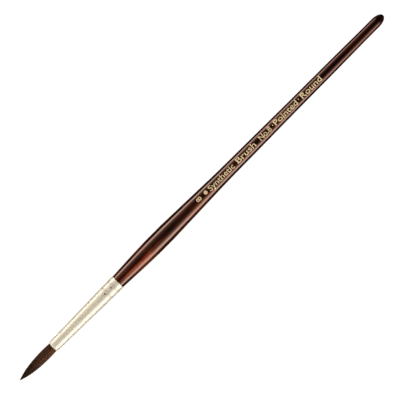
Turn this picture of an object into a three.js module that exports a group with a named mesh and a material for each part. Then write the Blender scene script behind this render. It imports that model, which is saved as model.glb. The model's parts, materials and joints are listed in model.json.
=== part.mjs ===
// A round artist's paint brush, size 8, lying on its side on a table.
//
// +X runs along the brush from the point of the hair to the butt of the handle, and +Z is up. The origin is on the
// table, under the middle of the brush's length. Millimetres.
//
// A seamless, tapered ferrule of thin nickel-plated brass holds everything together. The hair is a bundle of
// filaments, tied with thread near its butt end, set in resin and pulled through the ferrule from the back. The
// turned wooden handle ends in a tenon, glued inside the ferrule and held by two rolled crimps. The free hair bends:
// it is cut into heel, belly and toe, and each moving length starts in a ball and rocks in the cup of the one behind.
import * as THREE from 'three';

// ---- Driving dimensions. "From the point" is the distance along the brush from the tip of the hair. ----
const LENGTH = 216; // the whole brush
const HAIR_OUT = 19.8; // free hair, from its point to the ferrule's mouth
const FERRULE_LENGTH = 38.6;
const WALL = 0.26; // ferrule tube
const BELLY_RADIUS = 4.02; // the handle at its thickest
const SIDES = 32; // flats round each turned shape, one of them facing straight down
const GAP = 0.05; // between pieces that touch
const STEP = 0.01; // the length of a square step in an outline

const MOUTH = HAIR_OUT; // where the ferrule starts, from the point
const FERRULE_END = MOUTH + FERRULE_LENGTH;

// Ferrule, measured from its mouth.
const MOUTH_RADIUS = 2.514;
const CONE_END = 33;
const CONE_END_RADIUS = 3.27;
const BACK_RADIUS = 3.335;
const LIP_LENGTH = 1.2; // the mouth is burnished in to a rounded lip
const LIP_DROP = 0.17;
const CRIMPS = [31.3, 35]; // middle of each rolled groove
const CRIMP_HALF_WIDTH = 1.05;
const CRIMP_DEPTH = 0.08;
const CRIMP_RINGS = [-1, -0.6, -0.25, 0.25, 0.6, 1]; // across a groove, in half widths
const LIP_RINGS = [0, 0.1, 0.3, 0.6, 1]; // along the lip, in lip lengths
const CONE_RINGS = [10, 20];

// Handle. The tenon is measured from the mouth, and the outline from the ferrule's end as [distance, radius].
const TENON_START = 19.5;
const TENON_NOSE_RADIUS = 1.6;
const TENON_NOSE_LENGTH = 1.5;
const GLUE = [21.5, 29.4]; // the ring of glue round the tenon, from the mouth
const GLUE_THICKNESS = 0.12;
// The belly is level between the two, so that the brush rests on it.
const HANDLE_FRONT = [[0, 3.17], [4.4, 3.39], [9.5, 3.63], [15, 3.85], [20.5, BELLY_RADIUS]];
const HANDLE_REAR = [
  [29.3, BELLY_RADIUS], [34, 3.87], [46, 3.5], [60, 3.07], [70, 2.93], [88, 2.76], [104, 2.59], [126, 2.49],
  [146, 2.31], [153, 2.3],
];
const BUTT_STEPS = 7;

// Hair: the outline of the free tuft as [distance from the point, radius].
const TUFT = [[0, 0.04], [1.2, 0.47], [2.6, 0.9], [5, 1.5], [8.4, 2.02], [11.7, 2.28], [15.6, 2.385], [19.8, 2.24]];
const HEEL_PIVOT = 16.8; // where the belly rocks on the heel, from the point
const TOE_PIVOT = 9; // where the toe rocks on the belly
const HEEL_SWING = 25; // degrees either way
const TOE_SWING = 35;
const SWING_ROOM = 3; // degrees between a cup's rim and the hair at full swing

// Bound end of the hair, inside the ferrule, from the point.
const WAIST = [28, 30.4]; // where the thread is wound
const WAIST_RADIUS = 1.72;
const ROOT_SWELL_END = 26.8; // the hair fills the ferrule as far as here
const ROOT_END = 31.2;
const ROOT_END_RADIUS = 1.95;
const THREAD_DIAMETER = 0.32;
const THREAD_TURNS = 6;
const THREAD_PITCH = 0.36;
const THREAD_STEPS_PER_TURN = 12;
const THREAD_CORNERS_PER_HALF = 4;
const BINDING_ROOM = 0.15; // between the thread and the resin
const RESIN = [27.4, 34]; // from the point

// ---- Outlines: lists of (radius, distance from the point), turned about the brush's axis. ----
const point = (radius, distance) => new THREE.Vector2(radius, distance);

// Rings of a smooth outline through its stations.
function smooth(stations, offset, ringsPerSpan) {
  const curve = new THREE.SplineCurve(stations.map(([distance, radius]) => point(radius, distance + offset)));
  return curve.getPoints((stations.length - 1) * ringsPerSpan);
}

// The radius of a list of rings at a distance, on the straight line between the two nearest.
function radiusAt(rings, distance) {
  const next = Math.max(1, rings.findIndex((ring) => ring.y >= distance));
  const [a, b] = [rings[next - 1], rings[next]];
  return THREE.MathUtils.mapLinear(distance, a.y, b.y, a.x, b.x);
}

// The ferrule's outer radius before its lip is rounded, at a distance from its mouth.
function tubeRadius(y) {
  const cone = y < CONE_END;
  const base = cone
    ? THREE.MathUtils.mapLinear(y, 0, CONE_END, MOUTH_RADIUS, CONE_END_RADIUS)
    : THREE.MathUtils.mapLinear(y, CONE_END, FERRULE_LENGTH, CONE_END_RADIUS, BACK_RADIUS);
  const grooves = CRIMPS.map((middle) => Math.min(1, Math.abs(y - middle) / CRIMP_HALF_WIDTH));
  return base - grooves.reduce((sum, share) => sum + (CRIMP_DEPTH * (1 + Math.cos(Math.PI * share))) / 2, 0);
}

const lipDrop = (y) => LIP_DROP * (1 - Math.sqrt(1 - (1 - Math.min(1, y / LIP_LENGTH)) ** 2));
const boreRadius = (y) => tubeRadius(y) - WALL;
const crimpRings = CRIMPS.flatMap((middle) => CRIMP_RINGS.map((share) => middle + share * CRIMP_HALF_WIDTH));

function ferruleOutline() {
  const behindLip = [...CONE_RINGS, ...crimpRings, FERRULE_LENGTH];
  const outside = [...LIP_RINGS.map((share) => share * LIP_LENGTH), ...behindLip];
  const inside = [0, ...behindLip].reverse();
  const outer = outside.map((y) => point(tubeRadius(y) - lipDrop(y), MOUTH + y));
  const inner = inside.map((y) => point(boreRadius(y), MOUTH + y));
  return [...outer, ...inner, outer[0]];
}

// The tenon, the shoulder that meets the ferrule's end, the swelling belly, the long taper and the round butt.
function handleOutline() {
  const bareFrom = GLUE[1] + GAP;
  const tenonRadius = (y) => boreRadius(y) - GAP - (y < bareFrom ? GLUE_THICKNESS + GAP : 0);
  const tenonRings = [TENON_START + TENON_NOSE_LENGTH, bareFrom - STEP, bareFrom, ...crimpRings];
  const shoulder = FERRULE_END + GAP;
  const front = smooth(HANDLE_FRONT, shoulder, 2);
  const rear = smooth(HANDLE_REAR, shoulder, 2);
  const buttStart = rear.at(-1);
  const butt = Array.from({ length: BUTT_STEPS }, (_, i) => {
    const turn = ((i + 1) / BUTT_STEPS) * (Math.PI / 2);
    return point(buttStart.x * Math.cos(turn), buttStart.y + (LENGTH - buttStart.y) * Math.sin(turn));
  });
  butt.at(-1).x = 0;
  return [
    point(0, MOUTH + TENON_START),
    point(TENON_NOSE_RADIUS, MOUTH + TENON_START),
    ...tenonRings.map((y) => point(tenonRadius(y), MOUTH + y)),
    point(boreRadius(FERRULE_LENGTH) - GAP, shoulder),
    ...front,
    ...rear,
    ...butt,
  ];
}

function glueOutline() {
  const [start, end] = GLUE;
  const outer = [start, end].map((y) => point(boreRadius(y) - GAP, MOUTH + y));
  const inner = [end, start].map((y) => point(boreRadius(y) - GAP - GLUE_THICKNESS, MOUTH + y));
  return [...outer, ...inner, outer[0]];
}

const tuft = smooth(TUFT, 0, 4);
const tuftBetween = (from, to) => tuft.filter((ring) => ring.y > from && ring.y < to);
const hairAt = (distance) => point(radiusAt(tuft, distance), distance);

// A quarter circle behind a pivot, at these angles back from the plane through it.
function arcBehind(pivot, radius, angles) {
  return angles.map((degrees) => {
    const angle = THREE.MathUtils.degToRad(degrees);
    return point(degrees === 90 ? 0 : radius * Math.cos(angle), pivot + radius * Math.sin(angle));
  });
}

// The ball that a moving length ends in, from the hair's surface back to the axis.
const ballEnd = (pivot) => arcBehind(pivot, radiusAt(tuft, pivot), [0, 15, 30, 45, 60, 75, 90]);

// The cup that a ball rocks in, from the axis out to its rim, with a bevel that clears the hair at full swing.
function cupEnd(pivot, swing) {
  const rimAngle = swing + SWING_ROOM;
  const cup = arcBehind(pivot, radiusAt(tuft, pivot) + GAP, [90, 75, 60, 45, rimAngle]);
  const rim = cup.at(-1);
  const surface = radiusAt(tuft, rim.y);
  const bevel = (surface - rim.x) / Math.tan(THREE.MathUtils.degToRad(rimAngle));
  return [...cup, hairAt(rim.y - bevel)];
}

function toeOutline() {
  return [point(0, 0), ...tuft.filter((ring) => ring.y < TOE_PIVOT), ...ballEnd(TOE_PIVOT)];
}

function bellyOutline() {
  const cup = cupEnd(TOE_PIVOT, TOE_SWING);
  return [...cup, ...tuftBetween(cup.at(-1).y, HEEL_PIVOT), ...ballEnd(HEEL_PIVOT)];
}

// The heel outside the ferrule and the bound root inside it: one bundle, waisted where the thread ties it.
function rootOutline() {
  const cup = cupEnd(HEEL_PIVOT, HEEL_SWING);
  const bore = (distance) => boreRadius(distance - MOUTH) - GAP;
  return [
    ...cup,
    ...tuftBetween(cup.at(-1).y, MOUTH - GAP),
    hairAt(MOUTH - GAP),
    point(bore(MOUTH), MOUTH),
    point(bore(ROOT_SWELL_END), ROOT_SWELL_END),
    point(WAIST_RADIUS, WAIST[0]),
    point(WAIST_RADIUS, WAIST[1]),
    point(ROOT_END_RADIUS, ROOT_END),
    point(0, ROOT_END),
  ];
}

// A plug with a pocket in its front, where the tied end of the hair sits.
function resinOutline() {
  const [start, end] = RESIN;
  const pocket = WAIST_RADIUS + THREAD_DIAMETER + BINDING_ROOM;
  const bore = (distance) => boreRadius(distance - MOUTH) - GAP;
  return [
    point(0, ROOT_END + GAP),
    point(pocket, ROOT_END + GAP),
    point(pocket, start),
    point(bore(start), start),
    point(bore(end), end),
    point(0, end),
  ];
}

// The thread's route: a close spiral round the waist.
class Winding extends THREE.Curve {
  getPoint(t, target = new THREE.Vector3()) {
    const turn = t * THREAD_TURNS * 2 * Math.PI;
    const radius = WAIST_RADIUS + GAP + THREAD_DIAMETER / 2;
    const start = (WAIST[0] + WAIST[1] - THREAD_TURNS * THREAD_PITCH) / 2;
    return target.set(radius * Math.cos(turn), start + t * THREAD_TURNS * THREAD_PITCH, radius * Math.sin(turn));
  }
}

// ---- Materials ----
const material = (color, roughness, metalness) => new THREE.MeshStandardMaterial({ color, roughness, metalness });
const lacqueredWood = material(0x4a1f14, 0.18, 0);
const nickelPlate = material(0xd9ccb0, 0.22, 1);
const filaments = material(0x4a2e1f, 0.55, 0);
const cotton = material(0xd8cfb8, 0.9, 0);
const epoxy = material(0xb98a4a, 0.3, 0);
const woodGlue = material(0xe2d6a8, 0.5, 0);

// ---- Assembly: each shape is turned about its own Y, which the group lays along the table. ----
const brush = new THREE.Group();
const axis = new THREE.Group();
axis.rotation.z = -Math.PI / 2;
axis.position.set(-LENGTH / 2, 0, BELLY_RADIUS * Math.cos(Math.PI / SIDES));
brush.add(axis);

function add(name, geometry, look) {
  const mesh = new THREE.Mesh(geometry, look);
  mesh.name = name;
  axis.add(mesh);
}

const turned = (outline) => new THREE.LatheGeometry(outline, SIDES, Math.PI / SIDES);

function threadGeometry() {
  const section = new THREE.Shape().absarc(0, 0, THREAD_DIAMETER / 2, 0, 2 * Math.PI);
  const steps = THREAD_TURNS * THREAD_STEPS_PER_TURN;
  const curveSegments = THREAD_CORNERS_PER_HALF;
  return new THREE.ExtrudeGeometry(section, { steps, curveSegments, extrudePath: new Winding() });
}

add('handle', turned(handleOutline()), lacqueredWood);
add('ferrule', turned(ferruleOutline()), nickelPlate);
add('handle_glue', turned(glueOutline()), woodGlue);
add('resin_plug', turned(resinOutline()), epoxy);
add('binding_thread', threadGeometry(), cotton);
add('hair_root', turned(rootOutline()), filaments);
add('tuft_belly', turned(bellyOutline()), filaments);
add('tuft_toe', turned(toeOutline()), filaments);

export default brush;
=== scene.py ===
"""A round artist's paint brush, size 8: its looks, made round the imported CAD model.

The brush lies along X with the point of its hair towards -X, and +Z is up. The outlines of all the turned
pieces are read from the CAD nodes, so they keep the CAD sizes. Lengths are in metres.
"""

import json
import math

import bmesh
import bpy
import numpy as np
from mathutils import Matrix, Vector


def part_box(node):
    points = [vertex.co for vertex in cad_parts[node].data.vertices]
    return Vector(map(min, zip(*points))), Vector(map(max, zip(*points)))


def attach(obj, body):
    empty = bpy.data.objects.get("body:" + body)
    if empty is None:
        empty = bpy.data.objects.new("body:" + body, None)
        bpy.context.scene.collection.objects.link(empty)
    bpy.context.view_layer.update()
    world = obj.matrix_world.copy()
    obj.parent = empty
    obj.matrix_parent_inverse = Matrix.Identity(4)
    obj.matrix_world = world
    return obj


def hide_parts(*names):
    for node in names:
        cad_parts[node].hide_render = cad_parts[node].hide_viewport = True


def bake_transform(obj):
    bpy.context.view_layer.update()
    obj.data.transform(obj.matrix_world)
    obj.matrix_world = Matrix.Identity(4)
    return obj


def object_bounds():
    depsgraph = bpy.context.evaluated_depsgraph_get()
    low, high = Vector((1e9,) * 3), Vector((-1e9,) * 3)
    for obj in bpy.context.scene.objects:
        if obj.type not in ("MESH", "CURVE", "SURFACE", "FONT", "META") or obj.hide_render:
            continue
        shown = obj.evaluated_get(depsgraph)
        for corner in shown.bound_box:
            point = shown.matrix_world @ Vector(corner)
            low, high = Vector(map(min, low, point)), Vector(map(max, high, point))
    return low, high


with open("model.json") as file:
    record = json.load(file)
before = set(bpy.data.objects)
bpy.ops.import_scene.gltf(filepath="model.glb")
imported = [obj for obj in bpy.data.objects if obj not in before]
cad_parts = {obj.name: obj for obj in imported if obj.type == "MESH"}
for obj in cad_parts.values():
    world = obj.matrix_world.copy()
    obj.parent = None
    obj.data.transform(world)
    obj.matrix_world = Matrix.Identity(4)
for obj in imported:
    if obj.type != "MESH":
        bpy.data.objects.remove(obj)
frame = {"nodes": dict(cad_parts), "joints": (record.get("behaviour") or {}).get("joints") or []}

MM = 0.001

# ---- Places that the frame gives ----
CAD_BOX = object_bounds()
JOINTS = {joint["name"]: joint for joint in frame["joints"]}
AXIS_HEIGHT = JOINTS["heel_bend"]["pos_m"][2]
POINT_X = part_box("tuft_toe")[0].x
TOE_PIVOT_X = JOINTS["toe_bend"]["pos_m"][0]
HEEL_PIVOT_X = JOINTS["heel_bend"]["pos_m"][0]
MOUTH_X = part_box("ferrule")[0].x
FERRULE_END_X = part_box("ferrule")[1].x
BUTT_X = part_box("handle")[1].x

# ---- Outlines of the CAD nodes ----
SAME_POINT = 0.0001 * MM  # points nearer together than this are one
SAME_TURN = 0.001  # radians by which points of one meridian may differ
ON_AXIS = 0.001 * MM  # points nearer to the axis than this lie on it
CORNER_DEGREES = 38  # a sharper turn than this in an outline is a corner, and stays one
CORNER_POINTS = 5
EDGE_ROUNDING = 0.06 * MM
EDGE_SHARE = 0.45  # the rounding takes at most this share of the lines beside a corner

# ---- Turned pieces ----
ROUND_SIDES = 128
RING_STEP = 0.4 * MM
DOME_END = 0.05 * MM  # the radius of the butt's small flat end

FERRULE_SIDES = 192  # the ferrule is finer, for its small marks
FERRULE_STEP = 0.2 * MM
CRIMPS = (MOUTH_X + 31.3 * MM, MOUTH_X + 35 * MM)
CRIMP_SKIN = 3.05 * MM  # a radius between the bore and the outside at the crimps
CRIMP_SHADE_BEHIND = 0.9 * MM  # painted shade of the groove lies this far behind the middle of each crimp
MARK_Y = 0.2 * MM  # each crimp has the tool's small round mark on top, this far towards +Y
MARK_RADIUS = 0.42 * MM
MARK_DEPTH = 0.12 * MM

# ---- Wood ----
STAIN = (  # from the darkest streaks to the palest: place on the ramp, colour
    (0.0, (0.004, 0.0008, 0.0004)),
    (0.35, (0.012, 0.0022, 0.0009)),
    (0.6, (0.022, 0.004, 0.0015)),
    (0.82, (0.045, 0.008, 0.0025)),
    (1.0, (0.09, 0.017, 0.004)),
)
REDDER_REACH = 40 * MM  # the stain fades from its reddest over this length behind the ferrule
DARKER_FROM_X = 10 * MM  # from here the stain darkens to the butt
HIGHLIGHTS_DIM_FROM_X = 20 * MM  # from here the lacquer's reflection weakens to the butt: painted shade on its highlights, for the lamps' light fading there
SHEEN_GROWS = (-2.2 * MM, -1 * MM)  # a painted red sheen along the -Y side, under the brighter lamp's highlight, grows between these y
SHEEN_FADES = (-0.7 * MM, 0)  # and fades between these
SHEEN_ENDS = (16 * MM, 32 * MM)  # it dies out between these distances behind the ferrule

# ---- Hair ----
SEED = 8
STRANDS = 1500
STRAND_SIDES = 5
STRAND_RADIUS = 0.052 * MM
STRAND_TIP_RADIUS = 0.004 * MM
STRAND_TAPER = 8 * MM
TAPER_POWER = 0.55  # below 1, a filament thins most near its tip
CROWDING = 0.25  # below 0.5, the filaments crowd towards the tuft's surface
TIP_SPREAD = 6.5 * MM  # the outermost filaments end up to this far from the point
TIP_SHARE = 0.55  # and at least this share of that
TIP_POWER = 4  # the higher, the nearer to the point the inner filaments end
SWAY = 0.03  # radians round the axis by which a filament wanders
SWAY_RATE = 260  # radians of its wave in a metre
CLUMP_DEPTH = 0.006  # how far the hair sinks in between clumps, as a share of the tuft's radius
HAIR_START_X = MOUTH_X + 1.5 * MM
CUT_X = POINT_X + 13.2 * MM  # the tuft's two pieces meet here, where neither bends
BACK_RINGS = 8
FRONT_RINGS = 11
FRONT_POWER = 0.85  # below 1, the rings lie closer together towards the tip
CORE_SHARE = 0.94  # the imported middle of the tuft, as a share of its radius
CORE_STEP = 1 * MM
CORE_TONE = 0.1  # 0 is the darkest hair and 1 the palest
TONE = 0.6
TONE_SPREAD = 0.2  # how far a filament's tone strays, once with its bundle and once on its own
PAINTED_SIDE_LIGHT = 0.25  # how much paler the hair is painted towards -Y: painted light from the brighter lamp on that side

# ---- Gold stamping ----
CAP_HEIGHT = 2.5 * MM
FONT_CAP = 0.73  # the height of the font's capitals, in its own units
FONT_BOLDNESS = 0.012  # its strokes are widened by this, in the same units
FONT_RESOLUTION = 3  # steps in each of its curves
STAMPING_TURN = 0.33 * MM  # the line of words lies this far round from the top
FOIL_THICKNESS = 0.012 * MM
FOIL_LIFT = 0.2 * FOIL_THICKNESS  # keeps the foil just clear of the lacquer
FOIL_REACH = 2 * MM  # more than half the height of any stamped shape
FOIL_STRIP = 0.25 * MM  # the foil is creased this often to follow the round wood
STAMPING = (  # text, middle of its length behind the ferrule, length
    ("Synthetic", 61.5 * MM, 14.5 * MM),
    ("Brush", 76.0 * MM, 10.7 * MM),
    ("No.8", 87.4 * MM, 6.6 * MM),
    ("Pointed", 99.6 * MM, 13.2 * MM),
    ("Round", 114.6 * MM, 11.5 * MM),
)
STAMPED_DISCS = (  # middle behind the ferrule, radius
    (52.4 * MM, 0.85 * MM),
    (92.1 * MM, 0.26 * MM),
    (107.4 * MM, 0.26 * MM),
)
SIZE_TEXT = "8"
SIZE_WIDTH = 1.7 * MM
SIZE_PLACE = 48.3 * MM

# ---- Picture ----
IMAGE_WIDTH = 0.16766  # how much of the table the picture shows
CAMERA_LENS = 200
CAMERA_SENSOR = 36
CAMERA_TURN = math.radians(45.14)  # the brush's slope in the picture
CAMERA_SHIFT = (-0.61 * MM, -0.91 * MM)  # of the picture's centre from the brush's middle, right and up

FLOOR_REACH = 3  # metres from the middle to each edge
BACKGROUND = (0.94, 0.94, 0.94, 1)

# ---- Light ----
TENT = (  # degrees from straight up, towards +Y, and brightness
    (-180, 0.03),
    (-93, 0.03),
    (-89, 1.4),
    (-84, 4.6),
    (-78, 8.0),
    (-68, 8.0),
    (-60, 5.0),
    (-53, 3.0),
    (-45, 1.6),
    (-35, 0.6),
    (-22, 0.25),
    (-9, 0.1),
    (-4, 0.02),
    (4, 0.02),
    (9, 0.06),
    (25, 0.15),
    (40, 0.35),
    (52, 0.75),
    (62, 1.3),
    (69, 3.0),
    (75, 7.4),
    (86, 7.4),
    (90, 2.0),
    (93, 0.03),
    (180, 0.03),
)
TENT_PEAK = max(brightness for _, brightness in TENT)
LIGHT_TINT = (1, 0.83, 0.65)

# A direction's part along an axis is 0 when it is square to the axis and 1 when it points along it
TENT_ENDS = (0.12, 0.4)  # the tent darkens between these parts along the brush
TENT_END_SHARE = 0.05  # this share of its brightness is left there
FILL = 2.8  # brightness of the softer lamp beyond the hair
FILL_ALONG = (0.3, 0.65)  # it brightens between these parts towards the hair,
FILL_ACROSS = (-0.4, 0.3)  # between these parts towards +Y
FILL_UP = (0.1, 0.4)  # and between these parts upwards
FILL_SIDE_SHARE = 0.1  # this share of its brightness is left towards -Y


# ---- Outlines ----
def meridian(node):
    """A CAD node's outline: its (x, radius) points in order along one meridian, from the lowest x."""
    mesh = bmesh.new()
    mesh.from_mesh(frame["nodes"][node].data)
    bmesh.ops.remove_doubles(mesh, verts=mesh.verts, dist=SAME_POINT)
    radius = {v: math.hypot(v.co.y, v.co.z - AXIS_HEIGHT) for v in mesh.verts}
    turn = {v: math.atan2(v.co.y, v.co.z - AXIS_HEIGHT) for v in mesh.verts}
    on_axis = {v for v in mesh.verts if radius[v] < ON_AXIS}
    nearest = min(abs(turn[v]) for v in mesh.verts if v not in on_axis)
    line = on_axis | {v for v in mesh.verts if abs(turn[v] - nearest) < SAME_TURN}
    first = min(line, key=lambda v: (round(v.co.x, 7), radius[v]))
    flat = math.cos(nearest)  # a flat side of the CAD piece lies this share of the radius from the axis
    points = [(v.co.x, radius[v] * flat) for v in route(first, line)]
    mesh.free()
    return points


def route(here, line):
    """The vertices of a line in order, along its edges from one of them."""
    passed = [here]
    while True:
        beside = [edge.other_vert(here) for edge in here.link_edges]
        onward = [v for v in beside if v in line and v not in passed]
        if not onward:
            return passed
        here = min(onward, key=lambda v: (v.co - here.co).length)
        passed.append(here)


def slopes(along, values):
    """Slopes for a smooth curve through values that never swings past them."""
    rises = np.diff(values) / np.diff(along)
    result = np.concatenate([rises[:1], np.zeros(len(rises) - 1), rises[-1:]])
    same = rises[:-1] * rises[1:] > 0
    before, after = rises[:-1][same], rises[1:][same]
    result[1:-1][same] = 2 * before * after / (before + after)
    return result


def fair(points, step):
    """A smooth curve through points, with a point about every step."""
    points = np.array(points)
    lengths = np.linalg.norm(np.diff(points, axis=0), axis=1)
    along = np.concatenate([[0], np.cumsum(lengths)])
    tangents = np.stack([slopes(along, column) for column in points.T], axis=1)
    result = [points[0]]
    for i, length in enumerate(lengths):
        for t in np.linspace(0, 1, math.ceil(length / step) + 1)[1:]:
            start = (1 + 2 * t) * (1 - t) ** 2 * points[i] + t * (1 - t) ** 2 * length * tangents[i]
            end = t * t * (3 - 2 * t) * points[i + 1] - t * t * (1 - t) * length * tangents[i + 1]
            result.append(start + end)
    return result


def corner_places(points):
    """The indexes of an outline's two ends and of the corners between them."""
    ways = np.diff(np.array(points), axis=0)
    ways /= np.linalg.norm(ways, axis=1)[:, None]
    sharp = (ways[:-1] * ways[1:]).sum(axis=1) < math.cos(math.radians(CORNER_DEGREES))
    return [0, *(np.flatnonzero(sharp) + 1), len(points) - 1]


def rounded_corner(before, corner, after):
    """A short curve in place of a corner."""
    back, on = before - corner, after - corner
    cut = min(EDGE_ROUNDING, EDGE_SHARE * np.linalg.norm(back), EDGE_SHARE * np.linalg.norm(on))
    back *= cut / np.linalg.norm(back)
    on *= cut / np.linalg.norm(on)
    return [corner + (1 - t) ** 2 * back + t * t * on for t in np.linspace(0, 1, CORNER_POINTS)]


def smooth_outline(points, step):
    """An outline made smooth between its corners, with its corners slightly rounded."""
    marks = corner_places(points)
    runs = [fair(points[a : b + 1], step) for a, b in zip(marks, marks[1:])]
    result = list(runs[0][:-1])
    for run, following in zip(runs, runs[1:]):
        result += rounded_corner(run[-2], run[-1], following[1])
        result += following[1:-1]
    return [*result, runs[-1][-1]]


# ---- Meshes ----
def make_object(name, vertices, faces):
    mesh = bpy.data.meshes.new(name)
    mesh.from_pydata([tuple(v) for v in vertices], [], faces)
    made = bpy.data.objects.new(name, mesh)
    bpy.context.scene.collection.objects.link(made)
    return made


def finish_mesh(made, sharp_degrees):
    """Turns the faces outwards and shades them smooth, but for the real edges."""
    work = bmesh.new()
    work.from_mesh(made.data)
    bmesh.ops.recalc_face_normals(work, faces=work.faces)
    work.to_mesh(made.data)
    work.free()
    made.data.shade_smooth()
    made.data.set_sharp_from_angle(angle=math.radians(sharp_degrees))
    return made


def circle(sides):
    turn = 2 * math.pi * np.arange(sides) / sides
    return np.stack([np.zeros(sides), np.sin(turn), np.cos(turn)], axis=1)


def lathe(outline, sides, ring_shaped=False):
    """The vertices and faces of an outline turned round the brush's axis, as a solid or as a ring."""
    vertices = np.concatenate([[x, 0, AXIS_HEIGHT] + radius * circle(sides) for x, radius in outline])
    rings = len(outline)
    faces = []
    for i in range(rings if ring_shaped else rings - 1):
        a, b = i * sides, (i + 1) % rings * sides
        faces += [(a + k, a + (k + 1) % sides, b + (k + 1) % sides, b + k) for k in range(sides)]
    if not ring_shaped:
        last = (rings - 1) * sides
        faces += [tuple(range(sides)), tuple(range(last, last + sides))]
    return vertices, faces


def turned_handle():
    """The wooden handle, from its tenon in the ferrule to its domed butt."""
    outline = [p for p in meridian("handle") if p[1] > ON_AXIS]
    smooth = smooth_outline([*outline, (BUTT_X, DOME_END)], RING_STEP)
    vertices, faces = lathe(smooth, ROUND_SIDES)
    return finish_mesh(make_object("turned_handle", vertices, faces), sharp_degrees=40)


def press_marks(vertices):
    """Presses the crimping tool's two marks into the top of the tube."""
    radius = np.hypot(vertices[:, 1], vertices[:, 2] - AXIS_HEIGHT)
    on_top = (vertices[:, 2] > AXIS_HEIGHT) & (radius > CRIMP_SKIN)
    for crimp in CRIMPS:
        away = np.hypot(vertices[:, 0] - crimp, vertices[:, 1] - MARK_Y) / MARK_RADIUS
        dip = np.where(on_top & (away < 1), (1 - away**2) ** 2, 0)
        vertices[:, 2] -= MARK_DEPTH * dip


def drawn_ferrule():
    """The metal tube: its rolled-in lip, its bore and its two crimps."""
    outline = meridian("ferrule")
    smooth = smooth_outline([*outline, outline[0]], FERRULE_STEP)
    vertices, faces = lathe(smooth[:-1], FERRULE_SIDES, ring_shaped=True)
    press_marks(vertices)
    return finish_mesh(make_object("drawn_ferrule", vertices, faces), sharp_degrees=40)


# ---- Hair ----
def tuft_outline():
    """The tuft's surface, from its point to its tied root, out of the outlines of its three CAD nodes."""
    toe = [p for p in meridian("tuft_toe") if p[0] <= TOE_PIVOT_X]
    belly = [p for p in meridian("tuft_belly") if TOE_PIVOT_X < p[0] <= HEEL_PIVOT_X]
    root = [p for p in meridian("hair_root") if HEEL_PIVOT_X < p[0] and p[1] > ON_AXIS]
    return np.array([*toe[1:], *belly, *root])


def tuft_radius(x):
    return np.interp(x, TUFT[:, 0], TUFT[:, 1])


def ring_places(tip):
    """Where each filament's rings lie along X, from its root to its tip, with one of them at the cut."""
    back = np.linspace(np.full(STRANDS, HAIR_START_X), CUT_X, BACK_RINGS, axis=1)
    front = CUT_X + (tip - CUT_X)[:, None] * np.linspace(0, 1, FRONT_RINGS)[1:] ** FRONT_POWER
    return np.concatenate([back, front], axis=1)


def strand_tones_and_side_light(angle, rng):
    """How pale each filament is, from 0 to 1: uneven, in bundles, and painted paler towards -Y as painted
    light from the brighter lamp there.
    """
    bundles = TONE_SPREAD * np.sin(7 * angle + 0.5) * np.sin(3 * angle)
    tones = TONE + bundles + TONE_SPREAD * rng.normal(0, 1, STRANDS)
    # Painted light: paler towards -Y, where the brighter lamp stands
    return np.clip(tones - PAINTED_SIDE_LIGHT * np.sin(angle), 0, 1)


def strands(rng):
    """Each filament's rings: their centres and radii, and each filament's tone."""
    depth = rng.random(STRANDS) ** CROWDING  # 0 in the middle of the tuft and 1 at its surface
    angle = 2 * math.pi * rng.random(STRANDS)
    tip = POINT_X + TIP_SPREAD * depth**TIP_POWER * rng.uniform(TIP_SHARE, 1, STRANDS)
    x = ring_places(tip)
    thinning = np.clip((x - tip[:, None]) / STRAND_TAPER, 0, 1) ** TAPER_POWER
    radii = STRAND_TIP_RADIUS + (STRAND_RADIUS - STRAND_TIP_RADIUS) * thinning
    # The depth of the outermost filaments that still run at each ring
    outermost = np.clip((x - POINT_X) / TIP_SPREAD, 0.01, 1) ** (1 / TIP_POWER)
    share = np.minimum(1, depth[:, None] / outermost)
    clumps = 1 - CLUMP_DEPTH * (2 + np.sin(5 * angle + 1) + np.sin(11 * angle + 2))
    away = (tuft_radius(x) - radii) * share * clumps[:, None]
    wave = np.sin((x - POINT_X) * SWAY_RATE + angle[:, None])
    sway = SWAY * rng.normal(0, 1, STRANDS)[:, None] * wave
    turn = angle[:, None] + sway
    centres = np.stack([x, away * np.sin(turn), AXIS_HEIGHT + away * np.cos(turn)], axis=2)
    return centres, radii, strand_tones_and_side_light(angle, rng)


def tubes(centres, radii):
    """The vertices and faces of a thin closed tube through each row of rings."""
    count, rings = radii.shape
    vertices = centres[:, :, None, :] + radii[:, :, None, None] * circle(STRAND_SIDES)
    sides = range(STRAND_SIDES)
    pairs = [(k, (k + 1) % STRAND_SIDES) for k in sides]
    faces = []
    for tube in range(count):
        first = tube * rings * STRAND_SIDES
        last = first + (rings - 1) * STRAND_SIDES
        for a in range(first, last, STRAND_SIDES):
            b = a + STRAND_SIDES
            faces += [(a + k, b + k, b + after, a + after) for k, after in pairs]
        faces += [tuple(first + k for k in sides), tuple(last + k for k in sides)]
    return vertices.reshape(-1, 3), faces


def add_attribute(made, name, values):
    """A number for each vertex, which the material reads."""
    attribute = made.data.attributes.new(name, "FLOAT", "POINT")
    attribute.data.foreach_set("value", np.asarray(values, np.float32))


def hair_piece(name, centres, radii, tones, core):
    """One length of the tuft: its filaments round a packed core."""
    vertices, faces = tubes(centres, radii)
    core_vertices, core_faces = lathe(core, ROUND_SIDES // 2)
    faces += [tuple(len(vertices) + i for i in face) for face in core_faces]
    everything = np.concatenate([vertices, core_vertices])
    made = make_object(name, everything, faces)
    per_vertex = np.repeat(tones, radii.shape[1] * STRAND_SIDES)
    add_attribute(made, "tone", np.concatenate([per_vertex, np.full(len(core_vertices), CORE_TONE)]))
    add_attribute(made, "from_point", (everything[:, 0] - POINT_X) / (MOUTH_X - POINT_X))
    return finish_mesh(made, sharp_degrees=60)


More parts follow.
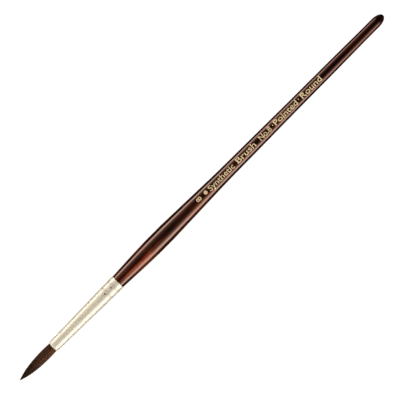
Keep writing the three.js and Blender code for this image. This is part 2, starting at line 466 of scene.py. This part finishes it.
def tuft():
    """The hair in two pieces: one from its tied root to the belly, and one from there to the point."""
    centres, radii, tones = strands(np.random.default_rng(SEED))
    middle = [(x, CORE_SHARE * tuft_radius(x)) for x in np.arange(CUT_X, MOUTH_X, CORE_STEP)]
    root = [tuple(p) for p in TUFT if p[0] > HAIR_START_X]
    to_point = np.arange(CUT_X, POINT_X + CORE_STEP, -CORE_STEP)
    point = [(x, CORE_SHARE * tuft_radius(x)) for x in to_point]
    cut = BACK_RINGS
    back = hair_piece("tuft_back", centres[:, :cut], radii[:, :cut], tones, [*middle, *root])
    front = hair_piece("tuft_front", centres[:, cut - 1 :], radii[:, cut - 1 :], tones, point)
    return back, front


# ---- Gold stamping ----
def handle_radius(x):
    return np.interp(x, WOOD[:, 0], WOOD[:, 1])


def flat_text(text, length):
    """A mesh of one word, its middle at the origin, as tall as the stamping and as long as asked."""
    curve = bpy.data.curves.new(text, "FONT")
    curve.body = text
    curve.resolution_u = FONT_RESOLUTION
    curve.offset = FONT_BOLDNESS
    holder = bpy.data.objects.new(text, curve)
    bpy.context.scene.collection.objects.link(holder)
    bpy.context.view_layer.update()
    evaluated = holder.evaluated_get(bpy.context.evaluated_depsgraph_get())
    mesh = bpy.data.meshes.new_from_object(evaluated)
    bpy.data.objects.remove(holder)
    places = np.array([v.co for v in mesh.vertices])
    start, end = places[:, 0].min(), places[:, 0].max()
    for vertex in mesh.vertices:
        vertex.co.x = (vertex.co.x - (start + end) / 2) * length / (end - start)
        vertex.co.y = (vertex.co.y - FONT_CAP / 2) * CAP_HEIGHT / FONT_CAP
        vertex.co.z = 0
    return mesh


def flat_disc(radius, sides=32):
    """A mesh of one flat disc."""
    turns = [2 * math.pi * i / sides for i in range(sides)]
    rim = [(radius * math.cos(turn), radius * math.sin(turn), 0) for turn in turns]
    mesh = bpy.data.meshes.new("disc")
    mesh.from_pydata(rim, [], [tuple(range(sides))])
    return mesh


def wrap(work, place):
    """Lays flat shapes on the wood, their middle at a distance behind the ferrule, and thickens them."""
    for offset in np.arange(-FOIL_REACH, FOIL_REACH, FOIL_STRIP):
        geometry = [*work.verts, *work.edges, *work.faces]
        bmesh.ops.bisect_plane(work, geom=geometry, plane_co=(0, offset, 0), plane_no=(0, 1, 0))
    bmesh.ops.solidify(work, geom=list(work.faces), thickness=FOIL_THICKNESS)
    lowest = min(v.co.z for v in work.verts)
    for vertex in work.verts:
        x = FERRULE_END_X + place + vertex.co.x
        radius = handle_radius(x) + vertex.co.z - lowest + FOIL_LIFT
        turn = (vertex.co.y + STAMPING_TURN) / handle_radius(x)
        vertex.co = (x, radius * math.sin(turn), AXIS_HEIGHT + radius * math.cos(turn))


def gold_stamping():
    """The size, plain words and discs in gold foil, read from the ferrule to the butt."""
    pieces = [(flat_text(text, length), place) for text, place, length in STAMPING]
    pieces += [(flat_disc(radius), place) for place, radius in STAMPED_DISCS]
    size = flat_text(SIZE_TEXT, SIZE_WIDTH)
    for vertex in size.vertices:
        vertex.co.x, vertex.co.y = -vertex.co.y, vertex.co.x
    pieces.append((size, SIZE_PLACE))
    joined = bmesh.new()
    for mesh, place in pieces:
        work = bmesh.new()
        work.from_mesh(mesh)
        wrap(work, place)
        work.to_mesh(mesh)
        work.free()
        joined.from_mesh(mesh)
        bpy.data.meshes.remove(mesh)
    made = make_object("gold_stamping", [], [])
    joined.to_mesh(made.data)
    joined.free()
    return finish_mesh(made, sharp_degrees=30)


# ---- Shader nodes ----
class Nodes:
    """Builds a tree of shader nodes. Each method adds a node and gives its output."""

    def __init__(self, tree, coordinates):
        self.tree = tree
        self.place = self.node("TexCoord", output=coordinates)

    def node(self, kind, inputs=None, output=0, **settings):
        made = self.tree.nodes.new("ShaderNode" + kind)
        for name, value in settings.items():
            setattr(made, name, value)
        for key, value in (inputs or {}).items():
            self.give(made.inputs[key], value)
        return made.outputs[output]

    def give(self, socket, value):
        if isinstance(value, bpy.types.NodeSocket):
            self.tree.links.new(value, socket)
        else:
            socket.default_value = value

    def coordinate(self, axis):
        return self.node("SeparateXYZ", {0: self.place}, output=axis)

    def sum(self, a, b):
        return self.node("Math", {0: a, 1: b}, operation="ADD")

    def times(self, a, b):
        return self.node("Math", {0: a, 1: b}, operation="MULTIPLY")

    def scaled(self, colour, strength):
        return self.node("VectorMath", {0: colour, "Scale": strength}, operation="SCALE")

    def from_zero(self, value):
        """How far the value is from zero."""
        return self.node("Math", {0: value}, operation="ABSOLUTE")

    def spread(self, value, low, high, start=0, end=1):
        """The value's range from low to high, spread smoothly from start to end."""
        inputs = {0: value, 1: low, 2: high, 3: start, 4: end}
        return self.node("MapRange", inputs, interpolation_type="SMOOTHSTEP")

    def ramp(self, value, stops):
        output = self.node("ValToRGB", {0: value})
        ramp = output.node.color_ramp
        while len(ramp.elements) < len(stops):
            ramp.elements.new(0.5)
        for element, (position, colour) in zip(ramp.elements, stops):
            element.position = position
            element.color = (*colour, 1)
        return output


class Finish(Nodes):
    """A procedural material."""

    def __init__(self, name, **settings):
        self.material = bpy.data.materials.new(name)
        self.material.use_nodes = True
        super().__init__(self.material.node_tree, "Object")
        self.shade(**settings)

    def shade(self, **settings):
        """Sets the shader's sockets. An underscore stands for a space."""
        shader = self.tree.nodes["Principled BSDF"]
        for name, value in settings.items():
            self.give(shader.inputs[name.replace("_", " ")], value)

    def noise(self, cycles, detail=3, offset=(0, 0, 0)):
        """Cloudy noise with this many cycles in a metre along X, Y and Z."""
        inputs = {0: self.place, 1: cycles, 2: offset}
        stretched = self.node("VectorMath", inputs, operation="MULTIPLY_ADD")
        return self.node("TexNoise", {"Vector": stretched, "Scale": 1, "Detail": detail})

    def mix(self, share, a, b, blend_type="MIX"):
        inputs = {0: share, 6: a, 7: b}
        return self.node("Mix", inputs, output=2, data_type="RGBA", blend_type=blend_type)

    def grey(self, value):
        return self.node("CombineColor", {0: value, 1: value, 2: value})

    def bump(self, height, distance):
        self.shade(Normal=self.node("Bump", {"Height": height, "Distance": distance}))

    def attribute(self, name):
        return self.node("Attribute", output="Fac", attribute_name=name)


# ---- Materials ----
def stain_and_side_sheen_strength(finish):
    """Strong near the ferrule, weak at the butt, and strongest in a painted red sheen along the -Y side,
    under the brighter lamp's highlight.
    """
    x, y = finish.coordinate("X"), finish.coordinate("Y")
    near_ferrule = finish.spread(x, FERRULE_END_X, FERRULE_END_X + REDDER_REACH, 2.2, 1)
    to_butt = finish.spread(x, DARKER_FROM_X, BUTT_X, 1, 0.35)
    across = finish.times(finish.spread(y, *SHEEN_FADES, 4, 0), finish.spread(y, *SHEEN_GROWS))
    along = finish.spread(x, FERRULE_END_X + SHEEN_ENDS[0], FERRULE_END_X + SHEEN_ENDS[1], 1, 0.1)
    red_side_sheen = finish.sum(finish.times(across, along), 1)
    return finish.times(finish.times(near_ferrule, to_butt), red_side_sheen)


def lacquered_wood():
    """Stained wood under gloss lacquer: reddest near the ferrule and almost black at the butt, with a
    painted red sheen along its -Y side.
    """
    finish = Finish(
        "lacquered_wood",
        Coat_Roughness=0.06,
        Specular_IOR_Level=0.35,
        Specular_Tint=(1, 0.15, 0.08, 1),
    )
    streaks = finish.noise((45, 950, 950), detail=5)
    patches = finish.noise((75, 260, 260), detail=3, offset=(3, 1, 7))
    pores = finish.noise((500, 6500, 6500), detail=2)
    figure = finish.sum(finish.times(streaks, 0.4), finish.times(patches, 0.6))
    stain = finish.ramp(finish.spread(figure, 0.33, 0.67), STAIN)
    # The stain's strength carries the painted red sheen along the -Y side
    stain = finish.mix(1.0, stain, finish.grey(stain_and_side_sheen_strength(finish)), "MULTIPLY")
    dark_pores = finish.ramp(pores, [(0.36, (0.55, 0.5, 0.48)), (0.5, (1, 1, 1))])
    finish.shade(Base_Color=finish.mix(1.0, stain, dark_pores, "MULTIPLY"))
    finish.shade(Roughness=finish.spread(patches, 0.3, 0.7, 0.22, 0.3))
    # Painted shade: the lacquer reflects less towards the butt, standing in for the lamps' light fading
    # there
    finish.shade(Coat_Weight=finish.spread(finish.coordinate("X"), HIGHLIGHTS_DIM_FROM_X, BUTT_X, 1, 0.45))
    ripple = finish.sum(finish.noise((220, 420, 420), detail=1), finish.times(pores, 0.03))
    finish.bump(ripple, 0.01 * MM)
    return finish.material


def painted_crimp_shade(finish, crimp):
    """Painted shade behind one crimp, standing in for the groove's shading, and a painted dark reflection in
    the tool's mark on top of it.
    """
    behind = finish.from_zero(finish.sum(finish.coordinate("X"), -crimp - CRIMP_SHADE_BEHIND))
    top = (crimp, MARK_Y, AXIS_HEIGHT + CRIMP_SKIN)
    away = finish.node("VectorMath", {0: finish.place, 1: top}, output="Value", operation="DISTANCE")
    # The band darkens as painted shade, and the mark darkens as a painted dark reflection
    band = finish.spread(behind, 0.2 * MM, 1.2 * MM, 0.8, 1)
    mark = finish.spread(away, 0.25 * MM, 0.5 * MM, 0.15, 1)
    return finish.grey(finish.times(band, mark))


def nickel():
    """Pale satin nickel with fine lines along its length, smears from handling, painted shade behind its
    crimps and painted dark reflections in their marks.
    """
    finish = Finish("nickel", Metallic=0.32)
    lines = finish.noise((60, 5200, 5200), detail=3)
    smears = finish.noise((160, 420, 420), detail=4, offset=(2, 5, 1))
    tone = finish.spread(finish.sum(finish.times(lines, 0.5), finish.times(smears, 0.5)), 0.3, 0.7)
    colour = finish.mix(tone, (0.87, 0.93, 0.92, 1), (0.93, 0.99, 0.98, 1))
    # Painted shade behind each crimp and a painted dark reflection in its mark, multiplied into the colour
    for crimp in CRIMPS:
        colour = finish.mix(1.0, colour, painted_crimp_shade(finish, crimp), "MULTIPLY")
    finish.shade(Base_Color=colour)
    finish.shade(Roughness=finish.spread(smears, 0.3, 0.7, 0.4, 0.44))
    finish.bump(lines, 0.0008 * MM)
    return finish.material


def hair():
    """Dark brown synthetic filament, lighter towards its root."""
    finish = Finish("hair", Specular_IOR_Level=0.18, Specular_Tint=(1, 0.7, 0.5, 1))
    tone = finish.attribute("tone")
    place = finish.attribute("from_point")
    mottle = finish.noise((500, 2500, 2500), detail=2)
    tone = finish.sum(tone, finish.spread(mottle, 0.3, 0.7, -0.12, 0.12))
    near_point = finish.ramp(tone, [(0.0, (0.004, 0.002, 0.0015)), (1.0, (0.024, 0.01, 0.006))])
    near_root = finish.ramp(tone, [(0.0, (0.03, 0.012, 0.007)), (1.0, (0.15, 0.062, 0.034))])
    finish.shade(Base_Color=finish.mix(finish.spread(place, 0.05, 1), near_point, near_root))
    finish.shade(Roughness=finish.spread(mottle, 0.3, 0.7, 0.38, 0.52))
    return finish.material


def gold_foil():
    """Pale gold foil, slightly uneven where it was pressed into the lacquer."""
    finish = Finish("gold_foil", Metallic=0.25)
    worn = finish.noise((1800, 1800, 1800), detail=3)
    gold = finish.mix(finish.spread(worn, 0.35, 0.65), (0.95, 0.82, 0.52, 1), (1.0, 0.95, 0.7, 1))
    finish.shade(Base_Color=gold)
    finish.shade(Roughness=finish.spread(worn, 0.3, 0.7, 0.45, 0.6))
    finish.bump(worn, 0.004 * MM)
    return finish.material


def amber_glue():
    """Set glue: yellowish brown, glossy and full of small bubbles."""
    finish = Finish("amber_glue", Roughness=0.35)
    cloud = finish.noise((900, 900, 900), detail=4)
    finish.shade(Base_Color=finish.mix(cloud, (0.32, 0.17, 0.06, 1), (0.6, 0.4, 0.17, 1)))
    finish.bump(cloud, 0.02 * MM)
    return finish.material


def clear_resin():
    """Hard resin: dull amber, with flow marks."""
    finish = Finish("clear_resin", Roughness=0.22)
    flow = finish.noise((300, 1200, 1200), detail=4)
    finish.shade(Base_Color=finish.mix(flow, (0.2, 0.1, 0.035, 1), (0.48, 0.3, 0.12, 1)))
    finish.bump(flow, 0.02 * MM)
    return finish.material


def waxed_thread():
    """Undyed waxed thread with its twist."""
    finish = Finish("waxed_thread", Roughness=0.6)
    inputs = {"Vector": finish.place, "Scale": 900, "Distortion": 2}
    twist = finish.node("TexWave", inputs, wave_type="BANDS", bands_direction="DIAGONAL")
    finish.shade(Base_Color=finish.mix(twist, (0.42, 0.36, 0.27, 1), (0.72, 0.66, 0.54, 1)))
    finish.bump(twist, 0.02 * MM)
    return finish.material


def paper():
    """The pale table top."""
    finish = Finish("paper", Roughness=1, Specular_IOR_Level=0, Emission_Strength=0.96)
    fibre = finish.noise((400, 400, 400), detail=3)
    colour = finish.mix(fibre, (0.19, 0.19, 0.19, 1), (0.21, 0.21, 0.21, 1))
    finish.shade(Base_Color=colour, Emission_Color=(1, 1, 1, 1))
    return finish.material


# ---- The scene ----
def add_camera():
    """Straight above the brush, turned so that the brush climbs to the right."""
    data = bpy.data.cameras.new("camera")
    data.lens = CAMERA_LENS
    data.sensor_width = CAMERA_SENSOR
    right = Vector((math.cos(CAMERA_TURN), -math.sin(CAMERA_TURN), 0))
    up = Vector((math.sin(CAMERA_TURN), math.cos(CAMERA_TURN), 0))
    middle = (CAD_BOX[0] + CAD_BOX[1]) / 2
    distance = IMAGE_WIDTH * CAMERA_LENS / CAMERA_SENSOR
    camera = bpy.data.objects.new("camera", data)
    camera.location = middle + CAMERA_SHIFT[0] * right + CAMERA_SHIFT[1] * up + Vector((0, 0, distance))
    camera.rotation_euler = (0, 0, -CAMERA_TURN)
    bpy.context.scene.collection.objects.link(camera)
    bpy.context.scene.camera = camera


def tent(sky):
    """The tent's light: two bright sides and a dark top, dimmer towards both ends of the brush."""
    turn = sky.node("Math", {0: sky.coordinate("Y"), 1: sky.coordinate("Z")}, operation="ARCTAN2")
    inputs = {0: turn, 1: 0.5 / math.pi, 2: 0.5}
    round_brush = sky.node("Math", inputs, operation="MULTIPLY_ADD")
    stops = []
    for degrees, brightness in TENT:
        colour = [brightness / TENT_PEAK * part for part in LIGHT_TINT]
        stops.append(((degrees + 180) / 360, colour))
    to_ends = sky.from_zero(sky.coordinate("X"))
    strength = sky.spread(to_ends, *TENT_ENDS, TENT_PEAK, TENT_END_SHARE * TENT_PEAK)
    return sky.scaled(sky.ramp(round_brush, stops), strength)


def fill(sky):
    """The softer lamp's light, from beyond the hair."""
    along = sky.spread(sky.times(sky.coordinate("X"), -1), *FILL_ALONG, 0, FILL)
    across = sky.spread(sky.coordinate("Y"), *FILL_ACROSS, FILL_SIDE_SHARE, 1)
    up = sky.spread(sky.coordinate("Z"), *FILL_UP)
    return sky.scaled(LIGHT_TINT, sky.times(sky.times(along, across), up))


def add_light():
    """The tent and the lamp. The camera itself sees a pale background in their place."""
    world = bpy.data.worlds.new("studio")
    bpy.context.scene.world = world
    world.use_nodes = True
    sky = Nodes(world.node_tree, "Generated")
    lamps = world.node_tree.nodes["Background"]
    both = sky.node("VectorMath", {0: tent(sky), 1: fill(sky)}, operation="ADD")
    sky.give(lamps.inputs["Color"], both)
    seen = sky.node("Background", {"Color": BACKGROUND})
    by_camera = sky.node("LightPath", output="Is Camera Ray")
    choice = sky.node("MixShader", {0: by_camera, 1: lamps.outputs[0], 2: seen})
    sky.give(world.node_tree.nodes["World Output"].inputs["Surface"], choice)


def add_floor():
    """The table top. The brush neither reflects it nor is lit by it, as on a cut-out ground."""
    corners = [(x * FLOOR_REACH, y * FLOOR_REACH, 0) for x, y in ((-1, -1), (1, -1), (1, 1), (-1, 1))]
    floor = make_object("floor", corners, [(0, 1, 2, 3)])
    floor.visible_glossy = False
    floor.visible_diffuse = False
    floor.data.materials.append(paper())


def put(piece, material, body, replaced=()):
    """Gives a piece its material, and the CAD body that it moves with."""
    piece.data.materials.append(material)
    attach(piece, body)
    if replaced:
        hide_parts(*replaced)


def put_bending(piece, material, replaced):
    """Gives a piece its material, sets its placing into its mesh, and hides the CAD nodes that it replaces.
    """
    piece.data.materials.append(material)
    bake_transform(piece)
    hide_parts(*replaced)


def refinish(node, material):
    """Gives a CAD node that stays a finer material."""
    materials = frame["nodes"][node].data.materials
    materials.clear()
    materials.append(material)


# The outlines that tuft_radius and handle_radius read
TUFT = tuft_outline()
WOOD = np.array([p for p in meridian("handle") if p[0] > FERRULE_END_X])

bpy.context.scene.view_settings.view_transform = "Standard"
add_camera()
add_light()
add_floor()

wood = lacquered_wood()
filament = hair()
back, front = tuft()
put(turned_handle(), wood, "brush", ["handle"])
put(drawn_ferrule(), nickel(), "brush", ["ferrule"])
put(gold_stamping(), gold_foil(), "brush")
put_bending(back, filament, ["hair_root", "tuft_belly"])
put_bending(front, filament, ["tuft_toe"])
refinish("handle_glue", amber_glue())
refinish("resin_plug", clear_resin())
refinish("binding_thread", waxed_thread())
